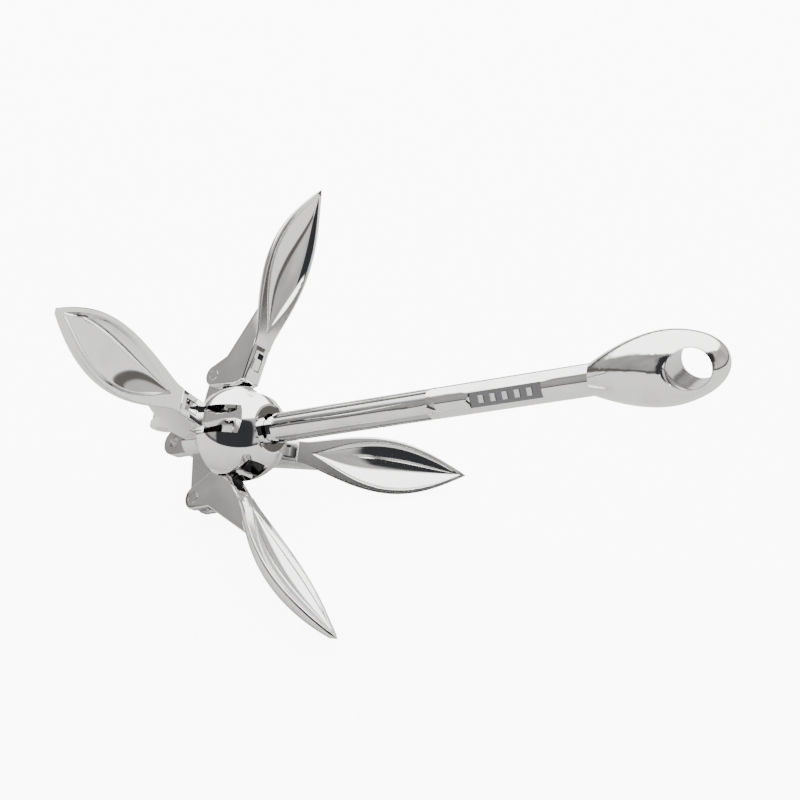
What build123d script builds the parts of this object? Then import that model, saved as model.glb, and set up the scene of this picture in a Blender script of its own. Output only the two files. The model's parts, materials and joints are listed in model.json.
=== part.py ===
"""Folding grapnel anchor in polished stainless steel, lying on its two lower flukes, head in the air.

The anchor is drawn in its own axes: Z runs up the shank from the ring hole to the head eye, and the
flukes stand at 45, 135, 225 and 315 degrees round it. The last section sets it down on the ground.
World axes: +Z up, +X the way the head points, +Y across. The origin is under the middle of its box.
"""
import os
from math import cos, pi, radians, sin, tan

from build123d import *

# Shank and head eye
eye_height = 369.5
eye_radius = 10.6
eye_mouth_radius = 13.4
eye_straight = 18.0
head_radius = 20.4
head_widest = 354.0
head_end = 387.0
flare_height = 314.0
shank_top_radius = 9.25
shank_radius = 10.2
rib_foot = 90.0
rib_angle = 52.0
channel_radius = 8.7
channel_top = 212.0
notch_height = 215.0
notch_size = 6.0
notch_depth = 2.6
panel_length = 46.0
panel_width = 9.2
panel_centre = 264.0
panel_floor = 8.1
mark_height = 0.5
mark_count = 5
shank_turn = -12.0

# Crown
hub_radius = 12.5
hub_foot = 9.0
hub_top = 40.0
spigot_radius = 6.5
spigot_foot = 13.0
spigot_clearance = 0.05
web_thickness = 7.4
web_foot = 12.0
web_shoulder = (14.0, 28.5)
web_lug_radius = 7.6
ring_height = -8.0
ring_hole_radius = 4.2
ring_radius = 9.8
ring_thickness = 8.0
cross_pin_radius = 2.5
cross_pin_height = 25.0
pin_chamfer = 0.4
pin_clearance = 0.04

# Flukes: heights and radii are those of a fluke half way between fully open and fully pushed in
pivot_radius = 46.0
pivot_height = 27.0
pivot_pin_radius = 4.0
fork_gap = 0.35
arm_width = 17.0
lug_radius = 8.4
arm_nose = (31.5, 54.0)
arm_shoulder = (57.0, 40.0)
arm_heel = (87.0, 73.0)
palm_root = (66.0, 72.5)
palm_middle = (119.8, 98.5)
palm_tip = (167.0, 131.5)
palm_half_width = 21.6
palm_dish = 6.5
palm_wall = 5.4
palm_rim = 2.2
edge_depth = 2.16
leaf_start = 0.25
leaf_power = 1.35
leaf_sections = 13
keel_width = 9.0
arm_end = (78.0, 71.5)
keel_foot = (82.0, 67.5)
keel_root = (87.0, 74.0)
keel_end = (122.0, 90.0)
arm_nose_flat = 9.0
arm_edge = 1.2
dish_start = 0.02
dish_end = 0.95
dish_nose = 6
leaf_end = 0.985
fluke_play = 13.7
fold_angle = 53.0
fluke_count = 4
window_radius = 45.5
window_length = 14.0
window_pit = 4.0
window_gap = 0.8
window_depth = 2.6
fork_reach = 10.5
fork_shoulder = 18.0
fork_roof = 53.0
fork_roof_end = 5.0
pivot_clearance = 0.06

# Collar: a ball cut flat above and below
collar_height = 54.0
collar_ball_radius = 33.5
collar_below = 11.0
collar_above = 29.0
collar_chamfer = 0.8
flute_clearance = 1.4
flute_floor = 24.0
key_clearance = 0.35
key_length = 7.0
collar_bore_clearance = 1.2
channel_end_gap = 1.0

# How far a cut runs past the face it starts from, and how near to the ground counts as touching it
overcut = 1.0
touch_tolerance = 0.01

fluke_azimuths = [45.0 + 90.0 * number for number in range(fluke_count)]
rib_centres = [azimuth + 45.0 for azimuth in fluke_azimuths]
fork_width = web_thickness + 2 * fork_gap
channel_angle = 360.0 / fluke_count - rib_angle
channel_half = tan(radians(channel_angle / 2))
wedge_reach = 2 * shank_radius
pivot = (pivot_radius, pivot_height)
collar_foot = collar_height - collar_below
collar_crest = collar_height + collar_above
collar_travel = channel_top - channel_end_gap - collar_crest

os.makedirs("parts", exist_ok=True)


def section_plane(radius, height, slope):
    """A plane square to a line that climbs at this slope in the fluke's own upright plane."""
    return Plane(origin=(radius, 0, height), x_dir=(0, 1, 0), z_dir=(cos(slope), 0, sin(slope)))


# The shank: spigot, neck, four-ribbed stem and teardrop head are one forging
with BuildPart() as shank:
    with BuildSketch(Plane.XZ):
        with BuildLine():
            Polyline(
                (0, spigot_foot),
                (spigot_radius, spigot_foot),
                (spigot_radius, hub_top),
                (channel_radius, hub_top),
                (channel_radius, rib_foot),
                (shank_radius, rib_foot),
                (shank_top_radius, flare_height),
            )
            Spline(
                (shank_top_radius, flare_height),
                (head_radius, head_widest),
                (0, head_end),
                tangents=[(0.50, 1.0), (0, 1.0), (-1.0, 0)],
                tangent_scalars=[0.9, 1.0, 1.1],
            )
            Line((0, head_end), (0, spigot_foot))
        make_face()
    revolve(axis=Axis.Z)

    # Channels between the ribs, which guide the collar's keys
    with BuildSketch(Plane.XY.offset(rib_foot - overcut)):
        wedge_half = wedge_reach * channel_half
        with PolarLocations(0, fluke_count, start_angle=fluke_azimuths[0]):
            Polygon((0, 0), (wedge_reach, -wedge_half), (wedge_reach, wedge_half), align=None)
        Circle(channel_radius, mode=Mode.SUBTRACT)
    extrude(amount=channel_top - rib_foot + overcut, mode=Mode.SUBTRACT)

    # A three-cornered notch above each rib
    for azimuth in rib_centres:
        turn = radians(azimuth)
        face = Plane(
            origin=(shank_radius * cos(turn), shank_radius * sin(turn), notch_height),
            x_dir=(-sin(turn), cos(turn), 0),
            z_dir=(cos(turn), sin(turn), 0),
        )
        with BuildSketch(face):
            half = notch_size / 2
            Polygon((-half, half), (half, half), (0, -half))
        extrude(amount=notch_depth, both=True, mode=Mode.SUBTRACT)

    # The recessed panel, pointed at its lower end, with a row of plain raised pads
    panel = Plane(origin=(-panel_floor, 0, panel_centre), x_dir=(0, 0, 1), z_dir=(-1, 0, 0))
    with BuildSketch(panel):
        Rectangle(panel_length, panel_width)
        with Locations((-panel_length / 2, 0)):
            Rectangle(panel_width / 3, panel_width / 3, rotation=45)
    extrude(amount=shank_radius, mode=Mode.SUBTRACT)
    with BuildSketch(panel):
        with GridLocations(panel_length / (mark_count + 1), 1, mark_count, 1):
            Rectangle(panel_width / 3, panel_width / 2)
    extrude(amount=mark_height)

    # The eye: a straight bore between two flared mouths
    mouth_start = eye_straight / 2
    with BuildSketch(Plane.XY.offset(eye_height)):
        with BuildLine():
            Polyline(
                (-head_radius, 0),
                (-head_radius, eye_mouth_radius),
            )
            Spline(
                (-head_radius, eye_mouth_radius),
                (-mouth_start, eye_radius),
                tangents=[(0.35, -1.0), (1.0, 0)],
            )
            Line((-mouth_start, eye_radius), (mouth_start, eye_radius))
            Spline(
                (mouth_start, eye_radius),
                (head_radius, eye_mouth_radius),
                tangents=[(1.0, 0), (0.35, 1.0)],
            )
            Polyline((head_radius, eye_mouth_radius), (head_radius, 0), (-head_radius, 0))
        make_face()
    revolve(axis=Axis((0, 0, eye_height), (1, 0, 0)), mode=Mode.SUBTRACT)

    with BuildSketch(Plane.YZ):
        with Locations((0, cross_pin_height)):
            Circle(cross_pin_radius + pin_clearance)
    extrude(amount=hub_radius, both=True, mode=Mode.SUBTRACT)


def upright_plane(azimuth):
    """The upright plane through the shank's axis that a fluke at this azimuth swings in."""
    turn = radians(azimuth)
    return Plane(origin=(0, 0, 0), x_dir=(cos(turn), sin(turn), 0), z_dir=(sin(turn), -cos(turn), 0))


cross_plane = upright_plane(shank_turn + 90.0)

# The crown: a hub with one web for each fluke and the tripping ring below
with BuildPart() as crown:
    with BuildSketch(Plane.XY.offset(hub_foot)):
        Circle(hub_radius)
    extrude(amount=hub_top - hub_foot)

    for azimuth in fluke_azimuths:
        with BuildSketch(upright_plane(azimuth)):
            with Locations(pivot):
                Circle(web_lug_radius)
            Polygon((0, web_foot), web_shoulder, (0, web_shoulder[1]), align=None)
            make_hull()
        extrude(amount=web_thickness / 2, both=True)

    ring_plane = upright_plane(fluke_azimuths[0])
    with BuildSketch(ring_plane):
        with Locations((0, ring_height)):
            Circle(ring_radius)
        with Locations((0, (ring_height + web_foot) / 2)):
            Rectangle(2 * ring_radius, web_foot - ring_height)
    extrude(amount=ring_thickness / 2, both=True)
    with BuildSketch(ring_plane):
        with Locations((0, ring_height)):
            Circle(ring_hole_radius)
    extrude(amount=ring_thickness, both=True, mode=Mode.SUBTRACT)

    with BuildSketch(Plane.XY.offset(spigot_foot)):
        Circle(spigot_radius + spigot_clearance)
    extrude(amount=hub_top - spigot_foot, mode=Mode.SUBTRACT)
    for azimuth in fluke_azimuths:
        with BuildSketch(upright_plane(azimuth)):
            with Locations(pivot):
                Circle(pivot_pin_radius + pin_clearance)
        extrude(amount=web_thickness, both=True, mode=Mode.SUBTRACT)
    with BuildSketch(cross_plane):
        with Locations((0, cross_pin_height)):
            Circle(cross_pin_radius + pin_clearance)
    extrude(amount=hub_radius, both=True, mode=Mode.SUBTRACT)

# The pin through hub and spigot that keeps the crown on the shank
with BuildPart() as crown_pin:
    with BuildSketch(cross_plane.offset(-hub_radius)):
        with Locations((0, cross_pin_height)):
            Circle(cross_pin_radius)
    extrude(amount=2 * hub_radius)
    chamfer(crown_pin.edges().filter_by(GeomType.CIRCLE), length=pin_chamfer)

# The locking collar: a ball with four flutes for the fluke arms and four keys for the shank's channels
with BuildPart() as collar:
    with BuildSketch(Plane.XZ):
        with Locations((0, collar_height)):
            Circle(collar_ball_radius)
        with Locations((0, collar_foot)):
            Rectangle(
                2 * collar_ball_radius,
                collar_crest - collar_foot,
                align=(Align.MIN, Align.MIN),
                mode=Mode.INTERSECT,
            )
    revolve(axis=Axis.Z)
    chamfer(collar.edges().filter_by(GeomType.CIRCLE), length=collar_chamfer)

    with BuildSketch(Plane.XY.offset(collar_foot - overcut)):
        with PolarLocations(flute_floor, fluke_count, start_angle=fluke_azimuths[0]):
            Rectangle(
                collar_ball_radius,
                arm_width + 2 * flute_clearance,
                align=(Align.MIN, Align.CENTER),
            )
    extrude(amount=collar_crest - collar_foot + 2 * overcut, mode=Mode.SUBTRACT)

    # A wide bore below, and above it a bore that leaves one key standing in each channel
    with BuildSketch(Plane.XY.offset(collar_foot - overcut)):
        Circle(shank_radius + collar_bore_clearance)
    extrude(amount=collar_crest - collar_foot - key_length + overcut, mode=Mode.SUBTRACT)
    with BuildSketch(Plane.XY.offset(collar_crest - key_length - overcut)):
        Circle(shank_radius + key_clearance)
        key_half = wedge_reach * tan(radians(channel_angle / 2) - key_clearance / channel_radius)
        with PolarLocations(0, fluke_count, start_angle=fluke_azimuths[0] + shank_turn):
            Polygon(
                (0, 0),
                (wedge_reach, -key_half),
                (wedge_reach, key_half),
                align=None,
                mode=Mode.SUBTRACT,
            )
        Circle(channel_radius + key_clearance)
    extrude(amount=key_length + 2 * overcut, mode=Mode.SUBTRACT)

# A fluke, drawn at azimuth 0: a forked arm that straddles the crown's web, and a leaf-shaped dished palm
rim_line = Edge.make_three_point_arc(*[(x, 0, z) for x, z in (palm_root, palm_middle, palm_tip)])


def leaf_half_width(share):
    """Half the palm's width at this share of the way from the arm to the tip."""
    return palm_half_width * sin(pi * (leaf_start + (1 - leaf_start) * share) ** leaf_power)


steps = [number / (leaf_sections - 1) for number in range(leaf_sections)]
back_shares = [leaf_end * step for step in steps]
back_widths = [leaf_half_width(share) for share in back_shares]
back_depths = [edge_depth + (palm_dish + palm_wall - edge_depth) * w / palm_half_width for w in back_widths]
dish_shares = [dish_start + (dish_end - dish_start) * step for step in steps]
dish_widths = [(leaf_half_width(s) - palm_rim) * (1 - (1 - s) ** dish_nose) for s in dish_shares]
dish_depths = [palm_dish * w / (palm_half_width - palm_rim) for w in dish_widths]

with BuildPart() as arm:
    with BuildSketch(Plane.XZ):
        with Locations(pivot):
            Circle(lug_radius)
        Polygon(
            (pivot_radius - lug_radius, pivot_height),
            (arm_nose[0], arm_nose[1] - arm_nose_flat),
            arm_nose,
            palm_root,
            arm_end,
            arm_heel,
            arm_shoulder,
            (pivot_radius + lug_radius, pivot_height),
            align=None,
        )
    extrude(amount=arm_width / 2, both=True)
    cheeks = arm.faces().filter_by(Axis.Y)
    fillet(cheeks[0].edges() + cheeks[-1].edges(), radius=arm_edge)

with BuildPart() as fluke:
    for share, half_width, depth in zip(back_shares, back_widths, back_depths):
        with BuildSketch(Plane(origin=rim_line @ share, x_dir=(0, 1, 0), z_dir=rim_line % share)):
            with BuildLine():
                EllipticalCenterArc((0, 0), half_width, depth, start_angle=180, arc_size=180)
                Line((half_width, 0), (-half_width, 0))
            make_face()
    loft()
    for share, half_width, depth in zip(dish_shares, dish_widths, dish_depths):
        with BuildSketch(Plane(origin=rim_line @ share, x_dir=(0, 1, 0), z_dir=rim_line % share)):
            with BuildLine():
                EllipticalCenterArc((0, 0), half_width, depth, start_angle=180, arc_size=180)
                Polyline((half_width, 0), (half_width, overcut), (-half_width, overcut), (-half_width, 0))
            make_face()
    loft(mode=Mode.SUBTRACT)
    add(arm)
    with BuildSketch(Plane.XZ):
        Polygon(keel_root, keel_foot, keel_end, align=None)
    extrude(amount=keel_width / 2, both=True)

    # The fork's slot, the pivot hole and the slotted window in the arm's face
    with BuildSketch(Plane.XZ):
        Polygon(
            (0, pivot_height - 2 * lug_radius),
            (pivot_radius + fork_reach, pivot_height - 2 * lug_radius),
            (pivot_radius + fork_reach, pivot_height + fork_shoulder),
            (pivot_radius + fork_roof_end, fork_roof),
            (0, fork_roof),
            align=None,
        )
    extrude(amount=fork_width / 2, both=True, mode=Mode.SUBTRACT)
    with BuildSketch(Plane.XZ):
        with Locations(pivot):
            Circle(pivot_pin_radius + pivot_clearance)
    extrude(amount=arm_width, both=True, mode=Mode.SUBTRACT)

    face_slope = (palm_root[1] - arm_nose[1]) / (palm_root[0] - arm_nose[0])
    window_height = arm_nose[1] + face_slope * (window_radius - arm_nose[0])
    window_plane = Plane(
        origin=(window_radius, 0, window_height),
        x_dir=(1, 0, face_slope),
        z_dir=(-face_slope, 0, 1),
    )
    with BuildSketch(window_plane):
        Rectangle(window_length, fork_width)
        with Locations((-window_pit / 2, 0)):
            Rectangle(
                window_length - window_pit - 2 * window_gap,
                fork_width - 2 * window_gap,
                mode=Mode.SUBTRACT,
            )
    extrude(amount=window_depth, both=True, mode=Mode.SUBTRACT)

# The pin that each fluke swings on, riveted in the crown's web
with BuildPart() as pivot_pin:
    with BuildSketch(Plane.XZ.offset(-arm_width / 2)):
        with Locations(pivot):
            Circle(pivot_pin_radius)
    extrude(amount=arm_width)
    chamfer(pivot_pin.edges().filter_by(GeomType.CIRCLE), length=pin_chamfer)

# Where each piece stands in the anchor's own axes: the upper pair is fully open, the lower pair pushed in
swing = Axis((pivot_radius, 0, pivot_height), (0, -1, 0))
fluke_names = ["upper_left", "upper_right", "lower_right", "lower_left"]
rest_turns = [-fluke_play, -fluke_play, fluke_play, fluke_play]
pieces = {
    "shank": shank.part.rotate(Axis.Z, shank_turn),
    "crown": crown.part,
    "crown_pin": crown_pin.part,
    "collar": collar.part,
}
for name, azimuth, turn in zip(fluke_names, fluke_azimuths, rest_turns):
    pieces["fluke_" + name] = fluke.part.rotate(swing, turn).rotate(Axis.Z, azimuth)
    pieces["pivot_pin_" + name] = pivot_pin.part.rotate(Axis.Z, azimuth)


def stand(climb):
    """The anchor's axes when its shank climbs at this angle, in degrees, with the upper flukes on top."""
    turn = radians(climb)
    return Plane(origin=(0, 0, 0), x_dir=(0, 1, 0), z_dir=(cos(turn), 0, sin(turn))).location


def lowest(piece, climb):
    """How high the lowest point of a piece is, for a shank that climbs at this angle."""
    return piece.moved(stand(climb)).bounding_box().min.Z


# The lower flukes rest on their palms and on the lugs of their arms: the climb is found by halving
lower_arm = arm.part.rotate(swing, fluke_play).rotate(Axis.Z, fluke_azimuths[-1])
low_climb = 0.0
high_climb = 60.0
for halving in range(16):
    climb = (low_climb + high_climb) / 2
    if lowest(pieces["fluke_lower_left"], climb) < lowest(lower_arm, climb) - touch_tolerance:
        low_climb = climb
    else:
        high_climb = climb

standing = Compound(children=[piece.moved(stand(climb)) for piece in pieces.values()])
box = standing.bounding_box()
rest = Location((-box.center().X, -box.center().Y, -box.min.Z)) * stand(climb)
print("shank climbs", round(climb, 3), "degrees; box", box.size)

for name, piece in pieces.items():
    placed = piece.moved(rest)
    placed.label = name
    export_step(placed, "parts/" + name + ".step")
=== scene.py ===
import json
from math import cos, pi, radians, sin

import bmesh
import bpy
from mathutils import Matrix, Vector


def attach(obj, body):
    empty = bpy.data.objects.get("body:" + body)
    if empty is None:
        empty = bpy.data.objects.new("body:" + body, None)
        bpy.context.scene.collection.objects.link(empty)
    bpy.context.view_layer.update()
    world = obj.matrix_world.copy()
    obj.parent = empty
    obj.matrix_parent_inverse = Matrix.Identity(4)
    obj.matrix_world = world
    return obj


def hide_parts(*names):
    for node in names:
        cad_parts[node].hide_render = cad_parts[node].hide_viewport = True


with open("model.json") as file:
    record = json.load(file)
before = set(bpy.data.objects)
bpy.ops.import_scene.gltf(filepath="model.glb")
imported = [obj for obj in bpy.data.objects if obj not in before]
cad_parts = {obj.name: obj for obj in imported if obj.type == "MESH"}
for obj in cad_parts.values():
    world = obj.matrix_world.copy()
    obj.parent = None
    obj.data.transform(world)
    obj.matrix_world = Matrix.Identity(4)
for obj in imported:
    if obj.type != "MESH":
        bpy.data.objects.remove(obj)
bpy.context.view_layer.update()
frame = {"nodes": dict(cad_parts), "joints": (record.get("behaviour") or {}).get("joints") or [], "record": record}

# ---------------------------------------------------------------------------
# Shank: one stainless forging, mirror polished on its ribs and teardrop head. Its channels and notches carry
# painted shade and its eye's bore a painted dark reflection, both rougher; the recessed panel is left dark and
# satin.
# ---------------------------------------------------------------------------
MM = 0.001
slide = next(joint for joint in frame["joints"] if joint["name"] == "collar_slide")
mounts = {mount["name"]: mount for mount in frame["record"]["mounts"]}
ring_height = -8.0
shank_line = Vector(slide["axis"]).normalized()
foot = Vector(mounts["tripping_ring"]["pos_m"]) - shank_line * ring_height * MM


def axes_with(across):
    """The axes, in millimetres, that run up the shank from its foot and across it this way."""
    over = shank_line.cross(across)
    return Matrix((
        (across.x, over.x, shank_line.x, foot.x),
        (across.y, over.y, shank_line.y, foot.y),
        (across.z, over.z, shank_line.z, foot.z),
        (0, 0, 0, 1),
    )) @ Matrix.Scale(MM, 4)


shank_axes = axes_with(Vector(mounts["head_eye"]["axis"]).normalized())

# Soft ripples from the mould, fine buffing grain and cloudy finger haze, shared by every steel below
marks = bpy.data.node_groups.new("polish_marks", "ShaderNodeTree")
for name, kind, value in (
    ("Vector", "NodeSocketVector", (0, 0, 0)),
    ("Base Color", "NodeSocketColor", (0.8, 0.8, 0.8, 1)),
    ("Dull Color", "NodeSocketColor", (0.5, 0.5, 0.5, 1)),
    ("Roughness", "NodeSocketFloat", 0.05),
    ("Haze", "NodeSocketFloat", 0.05),
    ("Ripple", "NodeSocketFloat", 0.3),
    ("Grain", "NodeSocketFloat", 0.02),
):
    socket = marks.interface.new_socket(name, in_out="INPUT", socket_type=kind)
    socket.default_value = value
for name, kind in (
    ("Color", "NodeSocketColor"),
    ("Roughness", "NodeSocketFloat"),
    ("Normal", "NodeSocketVector"),
):
    marks.interface.new_socket(name, in_out="OUTPUT", socket_type=kind)


def add(tree, kind, **settings):
    """A node of this kind, with its settings, and inputs given by socket name or number."""
    node = tree.nodes.new(kind)
    inputs = settings.pop("inputs", {})
    for key, value in settings.items():
        setattr(node, key, value)
    for key, value in inputs.items():
        if isinstance(value, bpy.types.NodeSocket):
            tree.links.new(value, node.inputs[key])
        else:
            node.inputs[key].default_value = value
    return node


given = add(marks, "NodeGroupInput")
result = add(marks, "NodeGroupOutput")
ripple = add(marks, "ShaderNodeTexNoise", inputs={
    "Vector": given.outputs["Vector"], "Scale": 38.0, "Detail": 1.0,
})
grain = add(marks, "ShaderNodeTexNoise", inputs={
    "Vector": given.outputs["Vector"], "Scale": 900.0, "Detail": 2.0,
})
haze = add(marks, "ShaderNodeTexNoise", inputs={
    "Vector": given.outputs["Vector"], "Scale": 22.0, "Detail": 6.0, "Roughness": 0.62,
})
cloud = add(marks, "ShaderNodeMapRange", inputs={
    "Value": haze.outputs["Fac"], "From Min": 0.48, "From Max": 0.72,
})
rough = add(marks, "ShaderNodeMath", operation="MULTIPLY_ADD", inputs={
    0: cloud.outputs["Result"], 1: given.outputs["Haze"], 2: given.outputs["Roughness"],
})
tint = add(marks, "ShaderNodeMix", data_type="RGBA", inputs={
    "Factor": cloud.outputs["Result"], 6: given.outputs["Base Color"], 7: given.outputs["Dull Color"],
})
ripple_height = 0.6 * MM
grain_height = 0.1 * MM
wave = add(marks, "ShaderNodeBump", inputs={
    "Strength": given.outputs["Ripple"], "Distance": ripple_height, "Height": ripple.outputs["Fac"],
})
bump = add(marks, "ShaderNodeBump", inputs={
    "Strength": given.outputs["Grain"], "Distance": grain_height,
    "Height": grain.outputs["Fac"], "Normal": wave.outputs["Normal"],
})
marks.links.new(tint.outputs[2], result.inputs["Color"])
marks.links.new(rough.outputs["Value"], result.inputs["Roughness"])
marks.links.new(bump.outputs["Normal"], result.inputs["Normal"])


def steel(name, color, dull, roughness, haze_amount, ripple_amount, grain_amount):
    """A stainless finish: bare metal under the shared polish marks."""
    material = bpy.data.materials.new(name)
    material.use_nodes = True
    tree = material.node_tree
    shader = tree.nodes["Principled BSDF"]
    shader.inputs["Metallic"].default_value = 1.0
    place = add(tree, "ShaderNodeTexCoord")
    effect = add(tree, "ShaderNodeGroup", node_tree=marks, inputs={
        "Vector": place.outputs["Object"], "Base Color": (*color, 1), "Dull Color": (*dull, 1),
        "Roughness": roughness, "Haze": haze_amount, "Ripple": ripple_amount, "Grain": grain_amount,
    })
    tree.links.new(effect.outputs["Color"], shader.inputs["Base Color"])
    tree.links.new(effect.outputs["Roughness"], shader.inputs["Roughness"])
    tree.links.new(effect.outputs["Normal"], shader.inputs["Normal"])
    return material


def finish_node(name, material):
    """Gives a piece of the frame this finish."""
    node = frame["nodes"][name]
    node.data.materials.clear()
    node.data.materials.append(material)


def mask(tree, operation, *values):
    """One arithmetic step of a mask."""
    return add(tree, "ShaderNodeMath", operation=operation, inputs=dict(enumerate(values))).outputs["Value"]


def below(tree, value, limit, soft):
    """1 where the value is under the limit, 0 over it, with a soft edge between."""
    return add(tree, "ShaderNodeMapRange", interpolation_type="SMOOTHSTEP", inputs={
        "Value": value, "From Min": limit + soft, "From Max": limit,
    }).outputs["Result"]


def overlay(material, share, color, roughness):
    """Lays a second colour and roughness over a steel, where share is 1."""
    tree = material.node_tree
    shader = tree.nodes["Principled BSDF"]
    for name, value in (("Base Color", (*color, 1)), ("Roughness", roughness)):
        before = shader.inputs[name].links[0].from_socket
        kind, slots, out = ("RGBA", (6, 7), 2) if name == "Base Color" else ("FLOAT", (2, 3), 0)
        over = add(tree, "ShaderNodeMix", data_type=kind, inputs={
            "Factor": share, slots[0]: before, slots[1]: value,
        })
        tree.links.new(over.outputs[out], shader.inputs[name])


shank_steel = steel("shank_steel", (0.80, 0.80, 0.79), (0.62, 0.62, 0.61), 0.05, 0.08, 0.12, 0.03)
tree = shank_steel.node_tree
to_shank = shank_axes.inverted() @ frame["nodes"]["shank"].matrix_world
spot = next(node for node in tree.nodes if node.type == "TEX_COORD").outputs["Object"]


def along_row(row):
    """One coordinate of the spot in the shank's own axes."""
    dot = add(tree, "ShaderNodeVectorMath", operation="DOT_PRODUCT", inputs={0: spot, 1: tuple(row)[:3]})
    return mask(tree, "ADD", dot.outputs["Value"], row[3])


def distance(first, second):
    """The length of a step this far one way and this far the other."""
    squares = [mask(tree, "MULTIPLY", step, step) for step in (first, second)]
    return mask(tree, "SQRT", mask(tree, "ADD", *squares))


def within(value, middle, half, soft):
    """1 where the value is within this distance of the middle."""
    return below(tree, mask(tree, "ABSOLUTE", mask(tree, "SUBTRACT", value, middle)), half, soft)


x, y, z = [along_row(row) for row in to_shank[:3]]
channel_floor = 9.0
channel_middle, channel_half = 154.5, 64.5
channel_shade_share = mask(
    tree, "MULTIPLY", below(tree, distance(x, y), channel_floor, 0.35),
    within(z, channel_middle, channel_half, 0.5),
)
# Painted shade: the channel floors and notches are coloured darker, as if in shade, and are also made rougher.
overlay(shank_steel, mask(tree, "MULTIPLY", channel_shade_share, 0.8), (0.36, 0.36, 0.36), 0.22)
eye_height, eye_bore = 369.5, 10.9
from_eye = distance(y, mask(tree, "SUBTRACT", z, eye_height))
bore_reflection_share = below(tree, from_eye, eye_bore, 0.7)
# Painted reflection: the eye's bore and mouth are coloured dark for the dark surroundings they reflect, and are
# also made rougher.
overlay(shank_steel, mask(tree, "MULTIPLY", bore_reflection_share, 0.7), (0.30, 0.30, 0.30), 0.20)
panel_middle, panel_half, panel_side = 264.0, 23.0, 4.6
panel_face, pad_top = -7.4, -8.45
in_outline = mask(tree, "MULTIPLY", within(y, 0.0, panel_side, 0.1), within(z, panel_middle, panel_half, 0.1))
in_panel = mask(tree, "MULTIPLY", below(tree, x, panel_face, 0.3), in_outline)
overlay(shank_steel, in_panel, (0.20, 0.20, 0.21), 0.38)
on_pad = mask(tree, "MULTIPLY", in_panel, below(tree, x, pad_top, 0.1))
overlay(shank_steel, on_pad, (0.66, 0.66, 0.66), 0.22)
finish_node("shank", shank_steel)

# ---------------------------------------------------------------------------
# Crown and pins: the crown is cast and buffed, rougher than the shank, and its steel is coloured darker all over
# as painted shade for the corners between its webs.
# The pins are turned bar, riveted and dressed flush, so they keep a fine satin from the lathe.
# ---------------------------------------------------------------------------
# Painted shade: the crown's base and dull colours are darker than the other steels, all over, for the shade
# between its webs.
crown_steel = steel("crown_steel", (0.72, 0.72, 0.71), (0.46, 0.46, 0.46), 0.10, 0.16, 0.16, 0.06)
finish_node("crown", crown_steel)
pin_steel = steel("pin_steel", (0.62, 0.62, 0.62), (0.50, 0.50, 0.50), 0.24, 0.08, 0.03, 0.12)
for node in frame["nodes"]:
    if "pin" in node:
        finish_node(node, pin_steel)

# ---------------------------------------------------------------------------
# Collar: a ball turned and slotted from the solid, and the brightest polish on the anchor, because every
# hand that opens or folds it rubs it again.
# ---------------------------------------------------------------------------
collar_steel = steel("collar_steel", (0.83, 0.83, 0.82), (0.70, 0.70, 0.69), 0.04, 0.06, 0.07, 0.02)
finish_node("collar", collar_steel)

# ---------------------------------------------------------------------------
# Flukes: each is one casting, a forked arm that straddles the crown's web and a dished leaf of a palm
# with a flat rim and a keel behind it. All four are the same and are ground and buffed all over.
# ---------------------------------------------------------------------------
anchor_axes = axes_with(Vector((0, 1, 0)))
pivot_radius = 46.0
pivot_height = 27.0
fluke_play = radians(13.7)
fluke_places = {
    "upper_left": (45.0, -fluke_play),
    "upper_right": (135.0, -fluke_play),
    "lower_right": (225.0, fluke_play),
    "lower_left": (315.0, fluke_play),
}

palm_tree = bpy.data.node_groups.new("palm_leaf", "GeometryNodeTree")
palm_sizes = {
    "Half Width": 21.4,
    "Neck Half Width": 8.3,
    "Neck Blend": 3.0,
    "Neck Share": 0.10,
    "Leaf Start": 0.25,
    "Leaf Power": 1.35,
    "Rim Width": 3.3,
    "Rim Dome": 0.7,
    "Dish Depth": 6.6,
    "Dish Steepness": 0.55,
    "Rim Thickness": 2.0,
    "Back Bulge": 9.5,
}
for name, value in palm_sizes.items():
    palm_socket = palm_tree.interface.new_socket(name, in_out="INPUT", socket_type="NodeSocketFloat")
    palm_socket.default_value = value
palm_tree.interface.new_socket("Finish", in_out="INPUT", socket_type="NodeSocketMaterial")
palm_tree.interface.new_socket("Geometry", in_out="OUTPUT", socket_type="NodeSocketGeometry")
size_of = add(palm_tree, "NodeGroupInput").outputs


def sum_of(operation, *values, clamp=False):
    """One arithmetic step of the palm's rule."""
    inputs = dict(enumerate(values))
    step = add(palm_tree, "ShaderNodeMath", operation=operation, use_clamp=clamp, inputs=inputs)
    return step.outputs["Value"]


rings = 130
ring_points = 160
sheet = add(palm_tree, "GeometryNodeMeshGrid", inputs={
    "Size X": 1.0, "Size Y": 1.0, "Vertices X": rings, "Vertices Y": ring_points,
})
flat_place = add(palm_tree, "GeometryNodeInputPosition").outputs["Position"]
where = add(palm_tree, "ShaderNodeSeparateXYZ", inputs={0: flat_place})
first_ring = 1.0 / (rings - 1)
length_share = sum_of("ADD", where.outputs["X"], 0.5)
turn = sum_of("MULTIPLY", sum_of("ADD", where.outputs["Y"], 0.5), 2 * pi)
capped = sum_of("GREATER_THAN", length_share, first_ring / 2)
spine = add(palm_tree, "GeometryNodeCurvePrimitiveBezierSegment", inputs={
    "Resolution": 96,
    "Start": (55.0, 0, 65.9),
    "Start Handle": (80.0, 0, 79.3),
    "End Handle": (133.2, 0, 102.0),
    "End": (167.6, 0, 131.9),
})
station = add(palm_tree, "GeometryNodeSampleCurve", mode="FACTOR", use_all_curves=True, inputs={
    "Curves": spine.outputs["Curve"], "Factor": sum_of("MAXIMUM", length_share, first_ring),
})
run = add(palm_tree, "ShaderNodeSeparateXYZ", inputs={0: station.outputs["Tangent"]})

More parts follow.
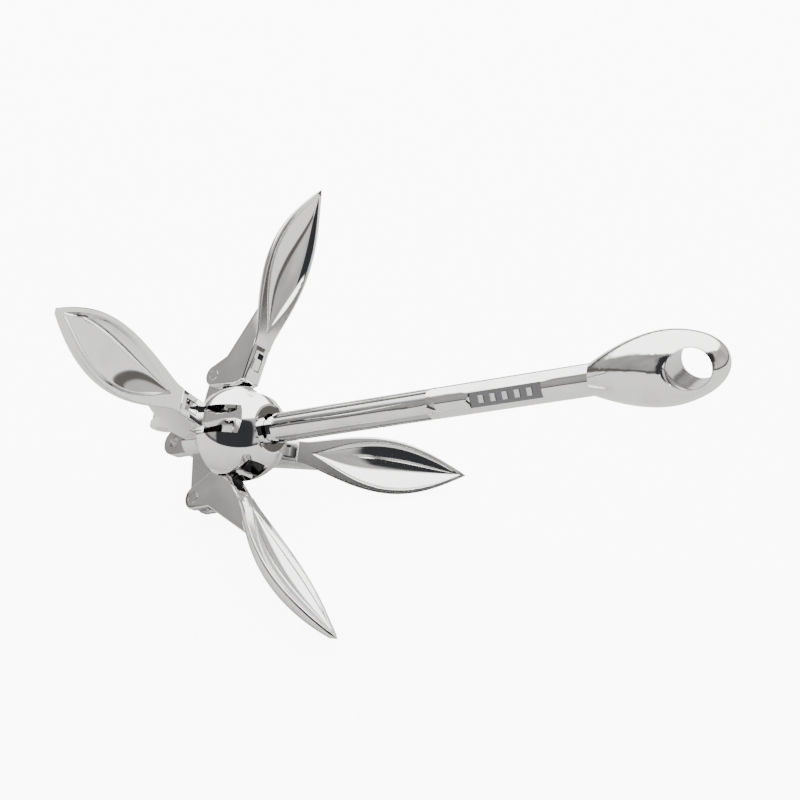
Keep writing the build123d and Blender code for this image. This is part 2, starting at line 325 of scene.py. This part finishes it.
past_neck = sum_of("SUBTRACT", length_share, size_of["Neck Share"])
leaf_share = sum_of("DIVIDE", past_neck, sum_of("SUBTRACT", 1.0, size_of["Neck Share"]))
leaf_rest = sum_of("SUBTRACT", 1.0, size_of["Leaf Start"])
leaf_run = sum_of("MAXIMUM", sum_of("MULTIPLY_ADD", leaf_share, leaf_rest, size_of["Leaf Start"]), 0.0)
leaf_curve = sum_of("SINE", sum_of("MULTIPLY", sum_of("POWER", leaf_run, size_of["Leaf Power"]), pi))
leaf_width = sum_of("MULTIPLY", leaf_curve, size_of["Half Width"])
neck_gone = sum_of("SUBTRACT", 1.0, sum_of("MULTIPLY", leaf_share, 3.0, clamp=True))
neck_width = sum_of("MULTIPLY", size_of["Neck Half Width"], neck_gone)
neck_blend = sum_of("MULTIPLY", size_of["Neck Blend"], neck_gone)
half_width = sum_of("MAXIMUM", sum_of("SMOOTH_MAX", leaf_width, neck_width, neck_blend), 0.0)

dish_end = 0.955
dish_share = sum_of("DIVIDE", leaf_share, dish_end, clamp=True)
dish_nose = sum_of("SUBTRACT", 1.0, sum_of("POWER", sum_of("SUBTRACT", 1.0, dish_share), 6.0))
inside_rim = sum_of("SUBTRACT", half_width, size_of["Rim Width"])
dish_width = sum_of("MAXIMUM", sum_of("MULTIPLY", inside_rim, dish_nose), 0.01)
widest_dish = sum_of("SUBTRACT", size_of["Half Width"], size_of["Rim Width"])
dish_depth = sum_of("MULTIPLY", size_of["Dish Depth"], sum_of("DIVIDE", dish_width, widest_dish))

side = sum_of("MULTIPLY", half_width, sum_of("COSINE", turn))
lift = sum_of("SINE", turn)
dish_place = sum_of("DIVIDE", side, dish_width)
from_dish_edge = sum_of("MAXIMUM", sum_of("SUBTRACT", 1.0, sum_of("MULTIPLY", dish_place, dish_place)), 0.0)
dish_bowl = sum_of("POWER", from_dish_edge, size_of["Dish Steepness"])
rim_round = sum_of("SQRT", sum_of("DIVIDE", sum_of("MAXIMUM", lift, 0.0), 0.35, clamp=True))
edge_fade = sum_of("DIVIDE", half_width, 3.0, clamp=True)
rim_height = sum_of("MULTIPLY", sum_of("MULTIPLY", size_of["Rim Dome"], rim_round), edge_fade)
top_height = sum_of("SUBTRACT", rim_height, sum_of("MULTIPLY", dish_depth, dish_bowl))
bulge = sum_of("MULTIPLY", size_of["Back Bulge"], sum_of("DIVIDE", half_width, size_of["Half Width"]))
back_depth = sum_of("MULTIPLY_ADD", size_of["Rim Thickness"], edge_fade, bulge)
back_height = sum_of("MULTIPLY", back_depth, lift)
on_top = sum_of("GREATER_THAN", lift, 0.0)
on_back = sum_of("SUBTRACT", 1.0, on_top)
height = sum_of("ADD", sum_of("MULTIPLY", on_top, top_height), sum_of("MULTIPLY", on_back, back_height))
height = sum_of("MULTIPLY", height, capped)
side = sum_of("MULTIPLY", side, capped)
rise = add(palm_tree, "ShaderNodeCombineXYZ", inputs={
    "X": sum_of("MULTIPLY", sum_of("MULTIPLY", run.outputs["Z"], -1.0), height),
    "Y": side,
    "Z": sum_of("MULTIPLY", run.outputs["X"], height),
})
skin = add(palm_tree, "ShaderNodeVectorMath", operation="ADD", inputs={
    0: station.outputs["Position"], 1: rise.outputs["Vector"],
})
shaped = add(palm_tree, "GeometryNodeSetPosition", inputs={
    "Geometry": sheet.outputs["Mesh"], "Position": skin.outputs["Vector"],
})
seam_gap = 0.0005
closed = add(palm_tree, "GeometryNodeMergeByDistance", inputs={
    "Geometry": shaped.outputs["Geometry"], "Distance": seam_gap,
})
real = add(palm_tree, "GeometryNodeRealizeInstances", inputs={"Geometry": closed.outputs["Geometry"]})
coated = add(palm_tree, "GeometryNodeSetMaterial", inputs={
    "Geometry": real.outputs["Geometry"], "Material": size_of["Finish"],
})
palm_out = add(palm_tree, "NodeGroupOutput")
palm_tree.links.new(coated.outputs["Geometry"], palm_out.inputs["Geometry"])


def plain_mesh(thing, name):
    """The evaluated shape of a thing as a plain mesh, and the thing itself is cleared away."""
    evaluated = thing.evaluated_get(bpy.context.evaluated_depsgraph_get())
    mesh = bpy.data.meshes.new_from_object(evaluated)
    mesh.name = name
    bpy.data.objects.remove(thing)
    return mesh


def linked(name, mesh):
    """A new object in the scene that shows this mesh."""
    thing = bpy.data.objects.new(name, mesh)
    bpy.context.scene.collection.objects.link(thing)
    return thing


fluke_steel = steel("fluke_steel", (0.80, 0.80, 0.79), (0.66, 0.66, 0.65), 0.055, 0.07, 0.10, 0.03)
blank = linked("palm_blank", bpy.data.meshes.new("palm_blank"))
grown = blank.modifiers.new("palm", "NODES")
grown.node_group = palm_tree
for item in palm_tree.interface.items_tree:
    if item.in_out == "INPUT" and item.name in palm_sizes:
        grown[item.identifier] = palm_sizes[item.name]
    elif item.in_out == "INPUT":
        grown[item.identifier] = fluke_steel
palm_mesh = plain_mesh(blank, "palm")


def prism(name, outline, width, offset=0.0):
    """A plate of this width, from its outline of radius and height in the fluke's own plane."""
    mesh = bpy.data.meshes.new(name)
    near = [(x, offset - width / 2, z) for x, z in outline]
    far = [(x, offset + width / 2, z) for x, z in outline]
    count = len(outline)
    walls = [(i, (i + 1) % count, count + (i + 1) % count, count + i) for i in range(count)]
    ends = [tuple(range(count))[::-1], tuple(range(count, 2 * count))]
    mesh.from_pydata(near + far, [], ends + walls)
    shell = bmesh.new()
    shell.from_mesh(mesh)
    bmesh.ops.recalc_face_normals(shell, faces=shell.faces)
    shell.to_mesh(mesh)
    shell.free()
    return linked(name, mesh)


def round_points(centre, radius, start, end, count):
    """Points on an arc, from one angle to another."""
    angles = [radians(start + (end - start) * i / (count - 1)) for i in range(count)]
    return [(centre[0] + radius * cos(a), centre[1] + radius * sin(a)) for a in angles]


def cut(body, tool, operation="DIFFERENCE"):
    """Cuts one shape from another, or joins it on."""
    change = body.modifiers.new(tool.name, "BOOLEAN")
    change.operation = operation
    change.object = tool
    change.solver = "EXACT"


arm_width = 17.0
fork_width = 8.1
lug_radius = 8.4
pivot = (pivot_radius, pivot_height)
arm_outline = round_points(pivot, lug_radius, 180, 360, 33) + [
    (57.0, 40.0), (87.0, 73.0), (78.0, 71.2), (66.0, 71.8), (31.5, 54.0), (31.5, 45.0),
]
arm = prism("arm_blank", arm_outline, arm_width)
soften = arm.modifiers.new("edges", "BEVEL")
soften.width = 1.1
soften.segments = 3
soften.limit_method = "ANGLE"
soften.angle_limit = radians(50)
fork = prism("fork", [(0, 10.2), (56.5, 10.2), (56.5, 45.0), (51.0, 53.0), (0, 53.0)], fork_width)
bore = prism("bore", round_points(pivot, 4.06, 0, 352.5, 48), 2 * arm_width)
keel = prism("keel", [(82.0, 67.5), (122.0, 90.0), (87.0, 74.0)], 9.0)


def face_patch(start, end, depth):
    """The outline of a slot sunk into the arm's sloping face, from one place along the window to another."""
    along_face = Vector((34.5, 18.5)).normalized()
    out_of_face = Vector((-along_face.y, along_face.x))
    middle = Vector((45.5, 61.5))
    spots = [(start, -depth), (end, -depth), (end, depth), (start, depth)]
    return [tuple(middle + along_face * run + out_of_face * lift) for run, lift in spots]


window_gap = 0.8
block_side = fork_width / 2 - window_gap / 2
tools = [
    fork,
    bore,
    prism("slot_nose", face_patch(-7.0, -6.2, 2.6), fork_width),
    prism("slot_pit", face_patch(2.2, 6.6, 3.4), fork_width),
    prism("slot_left", face_patch(-6.6, 2.6, 2.6), window_gap, block_side),
    prism("slot_right", face_patch(-6.6, 2.6, 2.6), window_gap, -block_side),
]
for tool in tools:
    cut(arm, tool)
arm_mesh = plain_mesh(arm, "arm")
for tool in tools:
    bpy.data.objects.remove(tool)
keel_soften = keel.modifiers.new("edges", "BEVEL")
keel_soften.width = 1.6
keel_soften.segments = 3
keel_mesh = plain_mesh(keel, "keel")

for place, (azimuth, fold) in fluke_places.items():
    node = "fluke_" + place
    to_pivot = Matrix.Translation((pivot_radius, 0, pivot_height))
    swung = to_pivot @ Matrix.Rotation(-fold, 4, "Y") @ to_pivot.inverted()
    standing = anchor_axes @ Matrix.Rotation(radians(azimuth), 4, "Z") @ swung
    for piece, source in (("palm_", palm_mesh), ("arm_", arm_mesh), ("keel_", keel_mesh)):
        mesh = source.copy()
        mesh.transform(standing)
        mesh.materials.clear()
        mesh.materials.append(fluke_steel)
        mesh.shade_smooth()
        if piece != "palm_":
            mesh.set_sharp_from_angle(angle=radians(35))
        thing = linked(piece + place, mesh)
        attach(thing, node)
        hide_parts(node)

# ---------------------------------------------------------------------------
# Studio: a pale floor that stays bright round the anchor, and a big soft white tent with one dark
# opening where the camera looks in, which is what gives mirror-polished steel its dark shapes.
# ---------------------------------------------------------------------------
floor_half = 20.0
corners = [(x * floor_half, y * floor_half, 0) for x, y in ((-1, -1), (1, -1), (1, 1), (-1, 1))]
floor_mesh = bpy.data.meshes.new("floor")
floor_mesh.from_pydata(corners, [], [(0, 1, 2, 3)])
floor = linked("floor", floor_mesh)
floor_paint = bpy.data.materials.new("floor_paint")
floor_paint.use_nodes = True
paper = floor_paint.node_tree.nodes["Principled BSDF"]
paper.inputs["Base Color"].default_value = (0.46, 0.455, 0.45, 1)
paper.inputs["Roughness"].default_value = 0.8
paper.inputs["Emission Color"].default_value = (1, 1, 1, 1)
ray = add(floor_paint.node_tree, "ShaderNodeLightPath")
glow = add(floor_paint.node_tree, "ShaderNodeMapRange", inputs={
    "Value": ray.outputs["Is Camera Ray"], "To Min": 0.15, "To Max": 9.0,
})
floor_paint.node_tree.links.new(glow.outputs["Result"], paper.inputs["Emission Strength"])
floor_mesh.materials.append(floor_paint)

right = Vector((0.8954, 0.4355, 0.0925)).normalized()
back = Vector((0.3395, -0.8016, 0.4921)).normalized()
up = back.cross(right).normalized()
right = up.cross(back)

world = bpy.data.worlds.new("studio")
bpy.context.scene.world = world
world.use_nodes = True
tent = world.node_tree
direction = add(tent, "ShaderNodeTexCoord").outputs["Generated"]


def along(axis):
    """How far the looked-at direction runs along this axis."""
    dot = add(tent, "ShaderNodeVectorMath", operation="DOT_PRODUCT", inputs={0: direction, 1: tuple(axis)})
    return dot.outputs["Value"]


def share_of(operation, *values):
    """One arithmetic step of the tent's shares."""
    return mask(tent, operation, *values)


def step(value, start, end):
    """0 before start, 1 after end, with a soft edge between."""
    ramp = add(tent, "ShaderNodeMapRange", interpolation_type="SMOOTHSTEP", inputs={
        "Value": value, "From Min": start, "From Max": end,
    })
    return ramp.outputs["Result"]


def blend(share, under, over):
    """One brightness of the tent laid over another."""
    mix = add(tent, "ShaderNodeMix", data_type="RGBA", inputs={"Factor": share, 6: under, 7: over})
    return mix.outputs[2]


def opening(across, rise, depth, left, right_edge, bottom, top, soft):
    """A rectangular patch of the tent, as the share of it that covers this direction."""
    ahead = share_of("MAXIMUM", depth, 0.001)
    x = share_of("DIVIDE", across, ahead)
    y = share_of("DIVIDE", rise, ahead)
    sides = share_of("MULTIPLY", step(x, left, left + soft), step(x, right_edge, right_edge - soft))
    ends = share_of("MULTIPLY", step(y, bottom, bottom + soft), step(y, top, top - soft))
    return share_of("MULTIPLY", share_of("MULTIPLY", sides, ends), step(depth, 0.0, 0.05))


across, rise, depth = along(right), along(up), along(back)
dark = opening(across, rise, depth, -1.20, 1.00, -0.80, 0.90, 0.22)
height = along((0, 0, 1))
ceiling_sides = share_of("MULTIPLY", step(across, -0.80, -0.70), step(across, 0.80, 0.70))
ceiling = share_of("MULTIPLY", step(rise, 0.58, 0.66), ceiling_sides)
left_side = step(across, 0.2, -0.9)
wall = blend(left_side, (0.86, 0.85, 0.83, 1), (0.56, 0.55, 0.535, 1))
blotches = add(tent, "ShaderNodeTexNoise", inputs={"Vector": direction, "Scale": 1.8, "Detail": 2.0})
uneven = add(tent, "ShaderNodeMapRange", inputs={
    "Value": blotches.outputs["Fac"], "From Min": 0.35, "From Max": 0.65, "To Min": 0.70, "To Max": 1.05,
})
wall = add(tent, "ShaderNodeVectorMath", operation="SCALE", inputs={
    0: wall, "Scale": uneven.outputs["Result"],
}).outputs["Vector"]
trim = share_of("MULTIPLY", step(height, -0.02, 0.02), step(height, 0.12, 0.08))
walls = blend(trim, wall, (0.16, 0.15, 0.14, 1))
lit = blend(ceiling, walls, (5.0, 5.0, 4.95, 1))
seen = blend(dark, lit, (0.045, 0.046, 0.052, 1))
behind = add(tent, "ShaderNodeLightPath").outputs["Is Camera Ray"]
shown = blend(behind, seen, (10, 10, 10, 1))
tent.links.new(shown, tent.nodes["Background"].inputs["Color"])

lens = bpy.data.cameras.new("camera")
lens.lens = 39.97
lens.sensor_width = 36.0
lens.shift_x = -0.003
lens.shift_y = -0.009
lens.clip_start = 0.01
camera = bpy.data.objects.new("camera", lens)
bpy.context.scene.collection.objects.link(camera)
camera.matrix_world = Matrix((
    (right.x, up.x, back.x, 0.1890),
    (right.y, up.y, back.y, -0.4379),
    (right.z, up.z, back.z, 0.3945),
    (0, 0, 0, 1),
))
bpy.context.scene.camera = camera
